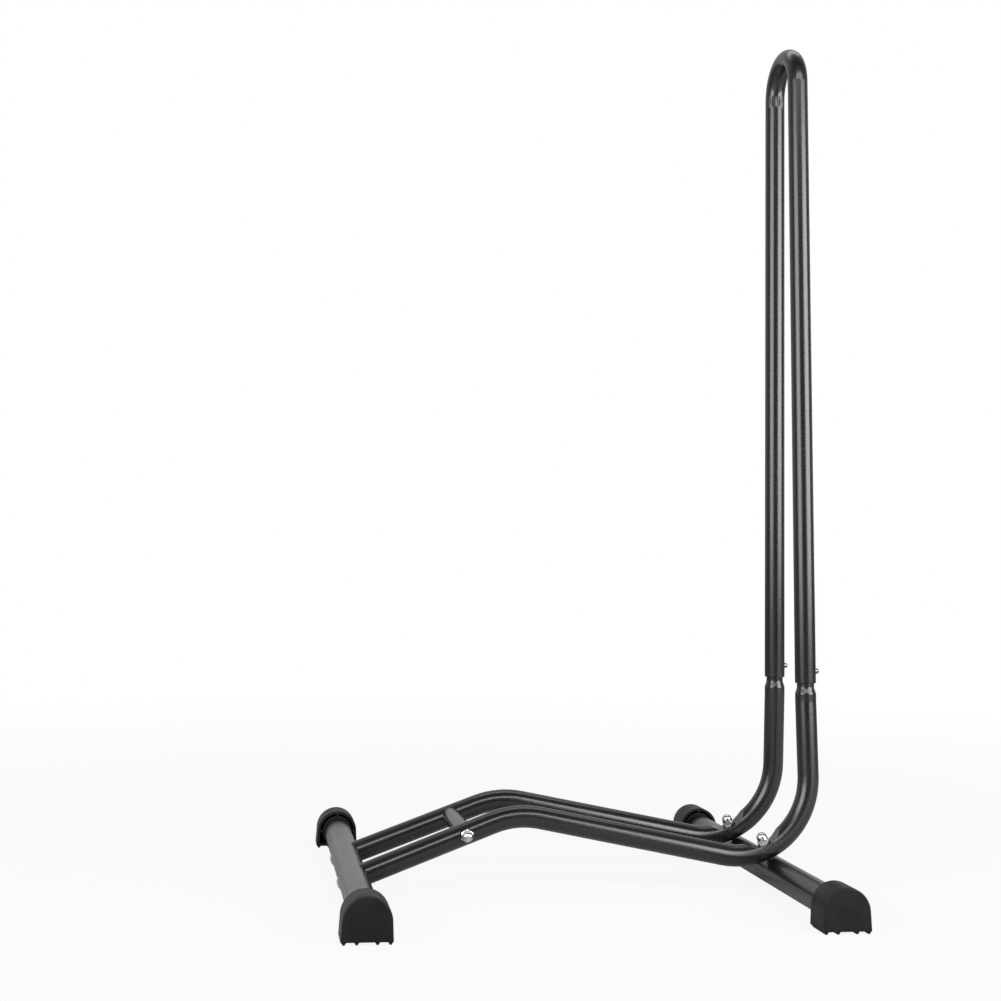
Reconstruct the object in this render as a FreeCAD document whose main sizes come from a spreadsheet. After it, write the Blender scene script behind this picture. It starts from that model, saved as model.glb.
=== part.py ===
import FreeCAD, Part
import math
import os

import Sketcher

# Floor bike rack. A bent hoop stands on two side tubes, and the side tubes cross a front and a
# rear foot tube. A wheel rolls in between the side tubes and is held upright between the
# legs of the hoop. Millimetres and degrees, +Z up, X from the rear foot to the hoop.
# The origin lies on the floor, midway along the rack and across it.

Vector = FreeCAD.Vector
doc = FreeCAD.newDocument("FloorBikeRack")

# Two edges nearer than this lie at one height.
SAME_PLACE = 1e-4

# ---------------------------------------------------------------- driving sizes

SIZES = {
    # bent steel tubes
    "tube_od": 19,
    "tube_wall": 1.5,
    "foot_od": 25.4,
    "foot_wall": 1.5,
    # hoop
    "hoop_height": 795,
    "arch_radius": 32.5,
    "leg_splay": 0.95,
    "leg_end_height": 182,
    "leg_end_round": 1.4,
    "leg_end_lip": 0.06,
    # side tubes, seen from the side
    "arm_rise_length": 129,
    "arm_rise_angle": 20.5,
    "hump_radius": 77,
    "arm_fall_length": 168,
    "arm_fall_angle": 11.2,
    "lower_bend_radius": 69,
    # side tubes, seen from the front
    "side_tilt": 4.2,
    "set_drop": 16,
    "set_radius": 50,
    # swaged neck that enters the leg of the hoop
    "neck_gap": 4,
    "neck_play": 0.2,
    "neck_wall": 1.5,
    "neck_insert": 34,
    "shoulder_height": 5,
    "shoulder_blend": 4,
    # feet
    "foot_height": 16.5,
    "foot_span": 440,
    "seat_gap": 0.15,
    # moulded foot caps
    "cap_length": 31,
    "cap_radius": 19.2,
    "cap_base": 40,
    "cap_stand": 2,
    "cap_shell": 2.4,
    "cap_edge": 1.2,
    "cap_end_wall": 3,
    "cap_core_depth": 20,
    "cap_end_play": 0.5,
    "socket_wall": 1.6,
    "web_width": 1.6,
    "rib_tip": 1.3,
    "rib_root": 4,
    "rib_inset": 1.5,
    "rib_inner": 7.8,
    "rib_outer": 17.6,
    # M6 fasteners
    "bolt_od": 6,
    "bolt_point": 0.75,
    "bolt_play": 0.2,
    "thread_play": 0.05,
    "head_od": 11.5,
    "head_rim": 0.9,
    "head_height": 3.3,
    "key_size": 4,
    "key_depth": 2,
    "nut_size": 10,
    "nut_hex_height": 5.5,
    "nut_height": 12,
    "nut_dome_od": 9.4,
    "nut_dome_rise": 3.8,
    "nut_corner_inset": 0.3,
    "nut_corner_slope": 30,
    "nut_thread_depth": 9,
    "nut_grip": 7.5,
    # flats pressed into the tubes under the fasteners
    "seat_od": 12.4,
    "bend_seat_depth": 6.5,
    "dent_radius": 22,
    "dent_setback": 0.4,
    "arm_seat_depth": 2,
    "foot_seat_depth": 1.6,
    # threaded plug in the rear end of each arm
    "plug_length": 18,
    "plug_play": 0.1,
    "plug_setback": 1,
    # spacer between the arms
    "spacer_distance": 103,
    "spacer_od": 16,
    "spacer_wall": 1.5,
    # snap buttons and their leaf springs
    "button_rise": 11,
    "button_od": 5,
    "button_play": 0.15,
    "button_reach": 13,
    "button_dome": 1.6,
    "flange_od": 7.8,
    "flange_height": 0.9,
    "flange_inner": 3.75,
    "tail_od": 2.8,
    "tail_height": 1,
    "leaf_thickness": 0.6,
    "leaf_width": 6,
    "leaf_gap": 0.1,
    "leaf_back": 5.4,
    "leaf_top": 6,
    "leaf_drop": 12,
}

# Places that follow from the driving sizes.
LAYOUT = {
    "tube_radius": "Sizes.tube_od / 2",
    "bore_radius": "Layout.tube_radius - Sizes.tube_wall",
    "foot_radius": "Sizes.foot_od / 2",
    "seat_radius": "Sizes.seat_od / 2",
    "bolt_hole_radius": "Sizes.bolt_od / 2 + Sizes.bolt_play",
    "button_hole_radius": "Sizes.button_od / 2 + Sizes.button_play",
    # side view of a side tube, from the axis of the rear foot
    "hump_x": "Sizes.arm_rise_length * cos(Sizes.arm_rise_angle)"
              " + Sizes.hump_radius * (sin(Sizes.arm_rise_angle) + sin(Sizes.arm_fall_angle))",
    "hump_z": "Sizes.arm_rise_length * sin(Sizes.arm_rise_angle)"
              " + Sizes.hump_radius * (cos(Sizes.arm_fall_angle) - cos(Sizes.arm_rise_angle))",
    "bend_x": "Layout.hump_x + Sizes.arm_fall_length * cos(Sizes.arm_fall_angle)"
              " + Sizes.lower_bend_radius * sin(Sizes.arm_fall_angle)",
    "bend_z": "Layout.hump_z - Sizes.arm_fall_length * sin(Sizes.arm_fall_angle)"
              " + Sizes.lower_bend_radius * cos(Sizes.arm_fall_angle)",
    "upright_x": "Layout.bend_x + Sizes.lower_bend_radius",
    # the lower bend rests on the front foot
    "front_reach": "Sizes.lower_bend_radius + Layout.tube_radius + Layout.foot_radius + Sizes.seat_gap",
    "front_x": "Layout.bend_x + sqrt(Layout.front_reach ^ 2 - Layout.bend_z ^ 2)",
    "front_lean": "asin((Layout.front_x - Layout.bend_x) / Layout.front_reach) / 1 deg",
    # front view
    "arch_z": "Sizes.hoop_height - Layout.tube_radius - Sizes.arch_radius",
    "leg_length": "(Layout.arch_z + Sizes.arch_radius * sin(Sizes.leg_splay) - Sizes.leg_end_height)"
                  " / cos(Sizes.leg_splay)",
    "leg_end_y": "Sizes.arch_radius * cos(Sizes.leg_splay) + Layout.leg_length * sin(Sizes.leg_splay)",
    # the side tubes turn into line with the legs a little below the ends of the legs
    "set_height": "Sizes.leg_end_height - Sizes.set_drop",
    "set_y": "Layout.leg_end_y + Sizes.set_drop * tan(Sizes.leg_splay)",
    "side_spacing": "Layout.set_y + (Layout.set_height - Sizes.foot_height) * tan(Sizes.side_tilt)",
    "set_turn": "Sizes.side_tilt - Sizes.leg_splay",
    "set_tangent": "Sizes.set_radius * tan(Layout.set_turn / 2)",
    "set_rise": "(Layout.set_height - Sizes.foot_height) / cos(Sizes.side_tilt)",
    "neck_base": "Sizes.set_drop / cos(Sizes.leg_splay)",
    "neck_radius": "Layout.bore_radius - Sizes.neck_play",
    # along the rack
    "rear_x": "(Sizes.cap_base / 2 - Layout.upright_x - Sizes.button_reach) / 2",
    # seats of the fasteners, from the axis of the tube that they cross
    "foot_seat": "Layout.foot_radius - Sizes.foot_seat_depth",
    "arm_seat": "Layout.tube_radius - Sizes.arm_seat_depth",
    "bend_seat": "Layout.foot_radius + Sizes.seat_gap + Sizes.tube_od - Sizes.bend_seat_depth",
    # spacer bolt
    "spacer_x": "Sizes.spacer_distance * cos(Sizes.arm_rise_angle)",
    "spacer_rise": "Sizes.spacer_distance * sin(Sizes.arm_rise_angle)",
    "spacer_y": "Layout.side_spacing - Layout.spacer_rise * sin(Sizes.side_tilt)",
    "spacer_z": "Sizes.foot_height + Layout.spacer_rise * cos(Sizes.side_tilt)",
    # foot caps
    "socket_radius": "Layout.foot_radius + Sizes.seat_gap",
    "socket_depth": "Sizes.cap_length - Sizes.cap_end_wall",
}


def make_sizes():
    """Put the driving sizes in the sheet, one named row each."""
    sheet = doc.addObject("Spreadsheet::Sheet", "Sizes")
    for row, (name, size) in enumerate(SIZES.items(), start=1):
        sheet.set(f"A{row}", name)
        sheet.set(f"B{row}", str(size))
        sheet.setAlias(f"B{row}", name)
    doc.recompute()


def make_layout():
    """Hold the places that follow from the driving sizes."""
    table = doc.addObject("App::VarSet", "Layout")
    for name, formula in LAYOUT.items():
        table.addProperty("App::PropertyFloat", name, "Layout")
        table.setExpression(name, formula)
    doc.recompute()
    return table


make_sizes()
layout = make_layout()


# ---------------------------------------------------------------- places

def value(formula):
    """The present value of a formula, as a plain number."""
    number = layout.evalExpression(formula)
    return float(getattr(number, "Value", number))


def place(x="0", y="0", z="0", turn="rotationx(0)"):
    """A place and a turn, as a formula."""
    return f"placement(vector({x}; {y}; {z}); {turn})"


def raised(where, height):
    """A place moved along its own Z."""
    return f"{where} * {place(z=height)}"


ALONG_X = place(turn="rotationy(90)")
SIDE_VIEW = place(turn="rotationx(90)")
FRONT_VIEW_TURN = "rotationz(90) * rotationx(90)"

SIDES = {"near": -1, "far": 1}


def side_frame(side):
    """Where a side tube crosses the rear foot, leaning in with the tube."""
    return place("Layout.rear_x", f"{side} * Layout.side_spacing", "Sizes.foot_height",
                 f"rotationx({side} * Sizes.side_tilt)")


def crossing(side):
    """Where a side tube crosses a foot, measured from the middle of the foot."""
    return place(y=f"{side} * Layout.side_spacing", turn=f"rotationx({side} * Sizes.side_tilt)")


def leg_frame(side):
    """Lower end of a leg of the hoop, measured in its side tube, Z up the leg."""
    return place("Layout.upright_x",
                 f"{side} * sin(Layout.set_turn) * Layout.neck_base",
                 "Layout.set_rise + cos(Layout.set_turn) * Layout.neck_base",
                 f"rotationx(-{side} * Layout.set_turn)")


# Seats of the fasteners, Z outwards, measured where the side tube crosses the foot.
FRONT_HEAD = raised(place(turn="rotationy(180 - Layout.front_lean)"), "Layout.foot_seat")
REAR_HEAD = raised(place(turn="rotationy(-90 - Sizes.arm_rise_angle)"), "Layout.foot_seat")
REAR_PLUG = raised(place(turn="rotationy(90 - Sizes.arm_rise_angle)"),
                   "Layout.foot_radius + Sizes.plug_setback")
FRONT_CROSSING = place("Layout.front_x")
BEND_NUT = FRONT_CROSSING + " * " + raised(place(turn="rotationy(-Layout.front_lean)"),
                                           "Layout.bend_seat")


def arm_seat(side):
    """Seat of the spacer bolt on the outer face of an arm, measured in the side tube."""
    level = place("Layout.spacer_x", "0", "Layout.spacer_rise",
                  f"rotationx(-{side} * Sizes.side_tilt) * rotationx(-{side} * 90)")
    return raised(level, "Layout.arm_seat")


# ---------------------------------------------------------------- solids

def add(kind, name, **formulas):
    """Add an object and tie its sizes to formulas."""
    item = doc.addObject(kind, name)
    for size, formula in formulas.items():
        item.setExpression(size, formula)
    return item


def cylinder(name, radius, length, where):
    """A round bar from a place along its Z."""
    return add("Part::Cylinder", name, Radius=radius, Height=length, Placement=where)


def joined(name, *items):
    """Items fused into one."""
    if len(items) == 1:
        return items[0]
    whole = doc.addObject("Part::MultiFuse", name)
    whole.Shapes = list(items)
    return whole


def cut(name, base, *tools):
    """A base less its tools."""
    rest = doc.addObject("Part::Cut", name)
    rest.Base = base
    rest.Tool = joined(name + "_tools", *tools)
    return rest


def group(name, *items):
    """Separate solids of one kind, kept as one piece of the list."""
    together = doc.addObject("Part::Compound", name)
    together.Links = list(items)
    return together


def dimension(sketch, kind, *where, size):
    """Add one dimension to a sketch and tie it to a formula."""
    number = value(size)
    if kind == "Angle":
        number = math.radians(number)
    index = sketch.addConstraint(Sketcher.Constraint(kind, *where, number))
    sketch.setExpression(f"Constraints[{index}]", size)


def relate(sketch, kind, *where):
    """Add one relation without a size to a sketch."""
    sketch.addConstraint(Sketcher.Constraint(kind, *where))


# Numbers by which a sketch knows the points of an edge and its own axes.
START, END, CENTRE = range(1, 4)
X_AXIS, Y_AXIS = range(-1, -3, -1)
ORIGIN = (X_AXIS, START)


def bent_path(name, where, runs, radii):
    """Straight runs, each a length and a heading, joined by tangent arcs."""
    path = add("Sketcher::SketchObject", name, Placement=where)
    corner = Vector(0, 0, 0)
    last = None
    for index, (length, heading) in enumerate(runs):
        angle = math.radians(value(heading))
        ahead = Vector(math.cos(angle), math.sin(angle), 0)
        line = path.addGeometry(Part.LineSegment(corner, corner + ahead * value(length)))
        dimension(path, "Distance", line, size=length)
        dimension(path, "Angle", line, size=heading)
        if last is None:
            relate(path, "Coincident", line, START, *ORIGIN)
        else:
            relate(path, "Tangent", *last, line, START)
        corner = corner + ahead * value(length)
        if index == len(radii):
            return path
        radius = value(radii[index])
        turn = math.radians(value(runs[index + 1][1])) - angle
        left = math.copysign(1, turn)
        centre = corner + Vector(-math.sin(angle), math.cos(angle), 0) * radius * left
        bend_start = angle - left * math.pi / 2
        bend = sorted([bend_start, bend_start + turn])
        circle = Part.Circle(centre, Vector(0, 0, 1), radius)
        arc = path.addGeometry(Part.ArcOfCircle(circle, *bend))
        enter, leave = (START, END) if left > 0 else (END, START)
        relate(path, "Tangent", line, END, arc, enter)
        dimension(path, "Radius", arc, size=radii[index])
        last = (arc, leave)
        corner = centre + Vector(math.cos(bend_start + turn), math.sin(bend_start + turn), 0) * radius


def bent_rod(name, path, where, heading, radius):
    """A round bar along a path that starts at a place with a heading."""
    section = add("Part::Circle", name + "_section", Radius=radius,
                  Placement=f"{where} * {place(turn=f'rotationz({heading}) * rotationy(90)')}")
    rod = doc.addObject("Part::Sweep", name)
    rod.Sections = [section]
    rod.Spine = (path, [f"Edge{number + 1}" for number in range(path.GeometryCount)])
    rod.Solid = True
    return rod


# ---------------------------------------------------------------- bodies made from sketches

def origin_plane(body, role):
    """One of the body's own planes."""
    return next(item for item in body.Origin.OriginFeatures if item.Role == role)


def sketch_on(body, role, name, offset="0"):
    """A sketch on one of the body's planes, moved along the plane's normal."""
    sketch = body.newObject("Sketcher::SketchObject", f"{body.Name}_{name}")
    sketch.AttachmentSupport = (origin_plane(body, role), "")
    sketch.MapMode = "FlatFace"
    sketch.setExpression("AttachmentOffset.Base.z", offset)
    return sketch


def feature(body, kind, name, sketch, **formulas):
    """A feature of the body on a sketch, with its sizes tied to formulas."""
    item = body.newObject(f"PartDesign::{kind}", f"{body.Name}_{name}")
    item.Profile = sketch
    for size, formula in formulas.items():
        item.setExpression(size, formula)
    return item


def pad(body, name, sketch, length):
    return feature(body, "Pad", name, sketch, Length=length)


def pocket(body, name, sketch, depth, reversed_cut=False):
    """Cut a sketch into the body; it must take material away."""
    doc.recompute()
    before = body.Shape.Volume
    hollow = feature(body, "Pocket", name, sketch, Length=depth)
    hollow.Reversed = reversed_cut
    doc.recompute()
    if body.Shape.Volume >= before:
        raise RuntimeError(f"{body.Name}: {name} cuts nothing")
    return hollow


def turned(body, name, sketch, kind="Revolution"):
    """Turn a sketch about its upright axis, to add material or to take it away."""
    item = feature(body, kind, name, sketch)
    item.ReferenceAxis = (sketch, ["V_Axis"])
    item.Angle = 360
    return item


def set_corner(sketch, line, corner):
    """Place the start of a line from the sketch's origin."""
    across, up = corner
    if across == "0":
        relate(sketch, "PointOnObject", line, START, Y_AXIS)
    else:
        dimension(sketch, "DistanceX", *ORIGIN, line, START, size=across)
    if up == "0":
        relate(sketch, "PointOnObject", line, START, X_AXIS)
    else:
        dimension(sketch, "DistanceY", *ORIGIN, line, START, size=up)


def outline(sketch, corners):
    """A closed outline of straight edges; each corner is placed from the origin."""
    points = [Vector(value(across), value(up), 0) for across, up in corners]
    lines = [sketch.addGeometry(Part.LineSegment(point, points[(index + 1) % len(points)]))
             for index, point in enumerate(points)]
    for index, line in enumerate(lines):
        relate(sketch, "Coincident", line, END, lines[(index + 1) % len(lines)], START)
        set_corner(sketch, line, corners[index])


def domed_outline(sketch, corners):
    """Half of a turned piece. The first corner is the crown of the dome and the last its rim;
    the dome is a part of a sphere centred on the axis."""
    points = [Vector(value(across), value(up), 0) for across, up in corners]
    lines = [sketch.addGeometry(Part.LineSegment(point, following))
             for point, following in zip(points, points[1:])]
    for index, line in enumerate(lines):
        set_corner(sketch, line, corners[index])
        if index:
            relate(sketch, "Coincident", lines[index - 1], END, line, START)
    crown, rim = points[0], points[-1]
    centre_up = (rim.x ** 2 + rim.y ** 2 - crown.y ** 2) / (2 * (rim.y - crown.y))
    sphere = Part.Circle(Vector(0, centre_up, 0), Vector(0, 0, 1), crown.y - centre_up)
    rim_angle = math.atan2(rim.y - centre_up, rim.x)
    dome = sketch.addGeometry(Part.ArcOfCircle(sphere, rim_angle, math.pi / 2))
    relate(sketch, "Coincident", lines[-1], END, dome, START)
    relate(sketch, "Coincident", dome, END, lines[0], START)
    relate(sketch, "PointOnObject", dome, CENTRE, Y_AXIS)
    dimension(sketch, "DistanceX", *ORIGIN, dome, START, size=corners[-1][0])
    dimension(sketch, "DistanceY", *ORIGIN, dome, START, size=corners[-1][1])


def circle(sketch, radius, height="0"):
    """A circle on the upright axis of the sketch."""
    ring = sketch.addGeometry(Part.Circle(Vector(0, value(height), 0), Vector(0, 0, 1), value(radius)))
    relate(sketch, "PointOnObject", ring, CENTRE, Y_AXIS)
    if height == "0":
        relate(sketch, "PointOnObject", ring, CENTRE, X_AXIS)
    else:
        dimension(sketch, "DistanceY", *ORIGIN, ring, CENTRE, size=height)
    dimension(sketch, "Radius", ring, size=radius)


def hexagon(sketch, across_flats):
    """A hexagon about the origin."""
    corner = f"{across_flats} / sqrt(3)"
    outline(sketch, [(f"{corner} * cos({60 * index + 30})", f"{corner} * sin({60 * index + 30})")
                     for index in range(6)])


# ---------------------------------------------------------------- pressed seats

def seat_recess(name, where):
    """What a press takes away above a flat seat."""
    return cylinder(name, "Layout.seat_radius", "Sizes.tube_od", where)


def seat_cup(name, where, wall):
    """The tube wall pushed in around and under a flat seat."""
    return cylinder(name, f"Layout.seat_radius + {wall}", "Sizes.tube_od", raised(where, f"-{wall}"))


def bolt_hole(name, where, depth):
    """A hole from just outside a seat to a depth under it."""
    return cylinder(name, "Layout.bolt_hole_radius", f"{depth} + Sizes.bolt_od",
                    raised(where, f"-({depth})"))


def dent(name, depth_into_wall):
    """What a round press takes away across the inside of the lower bend, around the seat of its
    nut, or the same grown by the depth of the wall."""
    level = raised(BEND_NUT, "Sizes.dent_radius + Sizes.dent_setback")
    across = raised(f"{level} * {place(turn='rotationx(90)')}", "-Sizes.tube_od")
    return cylinder(name, f"Sizes.dent_radius + {depth_into_wall}", "2 * Sizes.tube_od", across)


def pressed_tube(name, rod, bore, cups, cuts):
    """A tube whose bore leaves the pushed-in wall of its seats."""
    return cut(name, rod, cut(name + "_bore", bore, *cups), *cuts)


# ---------------------------------------------------------------- hoop

def make_hoop():
    """One tube bent round at the top, with a hole for a snap button in the front of each leg."""
    start = place(y="Layout.leg_end_y", z="Sizes.leg_end_height", turn=FRONT_VIEW_TURN)
    heading = "(90 + Sizes.leg_splay)"
    path = bent_path("hoop_path", start,
                     [("Layout.leg_length", heading), ("Layout.leg_length", "270 - Sizes.leg_splay")],
                     ["Sizes.arch_radius"])
    rod = bent_rod("hoop_rod", path, start, heading, "Layout.tube_radius")
    bore = bent_rod("hoop_bore", path, start, heading, "Layout.bore_radius")
    holes = [cylinder(f"hoop_button_hole_{name}", "Layout.button_hole_radius", "Sizes.tube_od",
                      button_level(side) + " * " + ALONG_X)
             for name, side in SIDES.items()]
    ends = [rim_round(f"hoop_end_{name}", leg_end(side)) for name, side in SIDES.items()]
    hoop = cut("hoop", rod, bore, *holes, *ends)
    hoop.setExpression("Placement", place("Layout.rear_x + Layout.upright_x"))
    return hoop


def leg_end(side):
    """Lower end of a leg, in the plane of the hoop, Z up the leg."""
    return place(y=f"{side} * Layout.leg_end_y", z="Sizes.leg_end_height",
                 turn=f"rotationx({side} * Sizes.leg_splay)")


def rim_round(name, where):
    """What rounding the outer rim of an open tube end takes away."""
    below = raised(where, "-Sizes.leg_end_round")
    ring = cylinder(f"{name}_ring", "Layout.tube_radius + Sizes.leg_end_round",
                    "2 * Sizes.leg_end_round", below)
    core = cylinder(f"{name}_core", "Layout.tube_radius - Sizes.leg_end_round",
                    "2 * Sizes.leg_end_round", below)
    inwards = "(Sizes.leg_end_round - Sizes.leg_end_lip)"
    rim = add("Part::Torus", f"{name}_rim", Radius1=f"Layout.tube_radius - {inwards}",
              Radius2="Sizes.leg_end_round", Placement=raised(where, inwards))
    return cut(name, ring, core, rim)


def button_level(side):
    """Axis of a leg at the height of its button, in the plane of the hoop."""
    return place(y=f"{side} * (Layout.leg_end_y - Sizes.button_rise * sin(Sizes.leg_splay))",
                 z="Sizes.leg_end_height + Sizes.button_rise * cos(Sizes.leg_splay)",
                 turn=f"rotationx({side} * Sizes.leg_splay)")


# ---------------------------------------------------------------- side tubes

def make_neck(name, side):
    """Straight top of a side tube: full size, a rounded shoulder, then the swaged neck."""
    body = doc.addObject("PartDesign::Body", f"{name}_neck")
    body.setExpression("Placement", leg_frame(side))
    bottom = "-(Layout.neck_base - Layout.set_tangent)"
    shoulder = "-(Sizes.neck_gap + Sizes.shoulder_height)"
    neck_bore = "Layout.neck_radius - Sizes.neck_wall"
    section = sketch_on(body, "XZ_Plane", "section")
    outline(section, [("Layout.bore_radius", bottom),
                      ("Layout.tube_radius", bottom),
                      ("Layout.tube_radius", shoulder),
                      ("Layout.neck_radius", "-Sizes.neck_gap"),
                      ("Layout.neck_radius", "Sizes.neck_insert"),
                      (neck_bore, "Sizes.neck_insert"),
                      (neck_bore, "-Sizes.neck_gap"),
                      ("Layout.bore_radius", shoulder)])
    neck = turned(body, "turned", section)
    doc.recompute()
    blend = body.newObject("PartDesign::Fillet", f"{name}_shoulder_blend")
    blend.Base = (neck, rings_at(neck, [value(shoulder), value("-Sizes.neck_gap")]))
    blend.setExpression("Radius", "Sizes.shoulder_blend")
    return body


def rings_at(item, heights):
    """Names of the round edges of an item at the given heights."""
    return [f"Edge{number}" for number, edge in enumerate(item.Shape.Edges, start=1)
            if edge.Closed and any(abs(edge.CenterOfMass.z - height) < SAME_PLACE for height in heights)]


def set_bend(name, side, radius):
    """The slight bend that turns the leaning side tube into line with the leg."""
    return add("Part::Torus", name, Radius1="Sizes.set_radius", Radius2=radius, Angle3="Layout.set_turn",
               Placement=place("Layout.upright_x", f"{side} * Sizes.set_radius",
                               "Layout.set_rise - Layout.set_tangent",
                               f"rotationz(-{side} * 90) * rotationx(90)"))


def make_side_tube(side_name, side):
    """Coped rear end, rising arm, hump, falling arm, lower bend, upright and neck."""
    name = f"side_tube_{side_name}"
    path = bent_path(f"{name}_path", SIDE_VIEW,
                     [("Sizes.arm_rise_length", "Sizes.arm_rise_angle"),
                      ("Sizes.arm_fall_length", "-Sizes.arm_fall_angle"),
                      ("Layout.set_rise - Layout.set_tangent - Layout.bend_z", "90")],
                     ["Sizes.hump_radius", "Sizes.lower_bend_radius"])
    bars = {}
    for part, radius in (("rod", "Layout.tube_radius"), ("bore", "Layout.bore_radius")):
        run = bent_rod(f"{name}_{part}_run", path, SIDE_VIEW, "Sizes.arm_rise_angle", radius)
        top = set_bend(f"{name}_{part}_set", side, radius)
        bars[part] = joined(f"{name}_{part}", run, top)

    seats = {"bend": BEND_NUT, "arm": arm_seat(side)}
    cups = [seat_cup(f"{name}_{seat}_cup", where, "Sizes.tube_wall") for seat, where in seats.items()]
    cuts = [seat_recess(f"{name}_{seat}_recess", where) for seat, where in seats.items()]
    cups.append(dent(f"{name}_dent_cup", "Sizes.tube_wall"))
    cuts.append(dent(f"{name}_dent", "0"))
    cuts.append(bolt_hole(f"{name}_bend_hole", seats["bend"], "Layout.bend_seat"))
    cuts.append(bolt_hole(f"{name}_arm_hole", seats["arm"], "Sizes.tube_od"))
    cope_turn = f"rotationx(-{side} * Sizes.side_tilt) * rotationx(90)"
    cuts.append(cylinder(f"{name}_cope", "Layout.socket_radius", "4 * Sizes.foot_od",
                         raised(place(turn=cope_turn), "-2 * Sizes.foot_od")))
    lower = pressed_tube(f"{name}_lower", bars["rod"], bars["bore"], cups, cuts)

    button_hole = cylinder(f"{name}_button_hole", "Layout.button_hole_radius", "Sizes.tube_od",
                           raised(leg_frame(side), "Sizes.button_rise") + " * " + ALONG_X)
    neck = cut(f"{name}_holed_neck", make_neck(name, side), button_hole)
    tube = doc.addObject("Part::Fuse", name)
    tube.Base = lower
    tube.Tool = neck
    tube.Refine = True
    tube.setExpression("Placement", side_frame(side))
    return tube


# ---------------------------------------------------------------- feet

def make_foot_tube(name, where, head):
    """Straight foot, drilled through at each side tube, with a flat pressed under each bolt head."""
    length = "(Sizes.foot_span - 2 * (Sizes.cap_end_wall + Sizes.cap_end_play))"
    across = f"{place(turn='rotationx(90)')}"
    bars = [cylinder(f"{name}_{part}", radius, length, raised(across, f"-{length} / 2"))
            for part, radius in (("rod", "Layout.foot_radius"),
                                 ("bore", "Layout.foot_radius - Sizes.foot_wall"))]
    cups = []
    cuts = []
    for side_name, side in SIDES.items():
        seat = f"{crossing(side)} * {head}"
        cups.append(seat_cup(f"{name}_cup_{side_name}", seat, "Sizes.foot_wall"))
        cuts.append(seat_recess(f"{name}_recess_{side_name}", seat))
        cuts.append(bolt_hole(f"{name}_hole_{side_name}", seat, "Sizes.foot_od"))
    foot = pressed_tube(name, *bars, cups, cuts)
    foot.setExpression("Placement", where)
    return foot


def d_outline(sketch, inset):
    """Round top and sides that flare a little down to a flat base, drawn inside the cap's outline."""
    radius = f"(Sizes.cap_radius - {inset})"
    half_base = f"(Sizes.cap_base / 2 - {inset})"
    base = f"(Sizes.cap_stand + {inset})"
    across, up, round_radius = value(half_base), value(base), value(radius)
    drop = up - value("Sizes.foot_height")
    touch = math.atan2(drop, across) + math.acos(round_radius / math.hypot(across, drop))
    centre = Vector(0, value("Sizes.foot_height"), 0)
    top = sketch.addGeometry(Part.ArcOfCircle(Part.Circle(centre, Vector(0, 0, 1), round_radius),
                                              touch, math.pi - touch))
    touch_x = round_radius * math.cos(touch)
    touch_z = centre.y + round_radius * math.sin(touch)
    left = sketch.addGeometry(Part.LineSegment(Vector(-touch_x, touch_z, 0), Vector(-across, up, 0)))
    floor = sketch.addGeometry(Part.LineSegment(Vector(-across, up, 0), Vector(across, up, 0)))
    right = sketch.addGeometry(Part.LineSegment(Vector(across, up, 0), Vector(touch_x, touch_z, 0)))
    relate(sketch, "Tangent", top, END, left, START)
    relate(sketch, "Coincident", left, END, floor, START)
    relate(sketch, "Coincident", floor, END, right, START)
    relate(sketch, "Tangent", right, END, top, START)
    relate(sketch, "PointOnObject", top, CENTRE, Y_AXIS)
    dimension(sketch, "DistanceY", *ORIGIN, top, CENTRE, size="Sizes.foot_height")
    dimension(sketch, "Radius", top, size=radius)
    dimension(sketch, "DistanceX", *ORIGIN, floor, END, size=half_base)
    dimension(sketch, "DistanceX", *ORIGIN, floor, START, size=f"-{half_base}")
    dimension(sketch, "DistanceY", *ORIGIN, floor, END, size=base)
    dimension(sketch, "DistanceY", *ORIGIN, floor, START, size=base)


def rectangle(sketch, x, z, width, height):
    """A rectangle from its middle, sizes as formulas."""
    left, right = f"{x} - ({width}) / 2", f"{x} + ({width}) / 2"
    low, high = f"{z} - ({height}) / 2", f"{z} + ({height}) / 2"
    outline(sketch, [(left, low), (right, low), (right, high), (left, high)])


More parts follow.
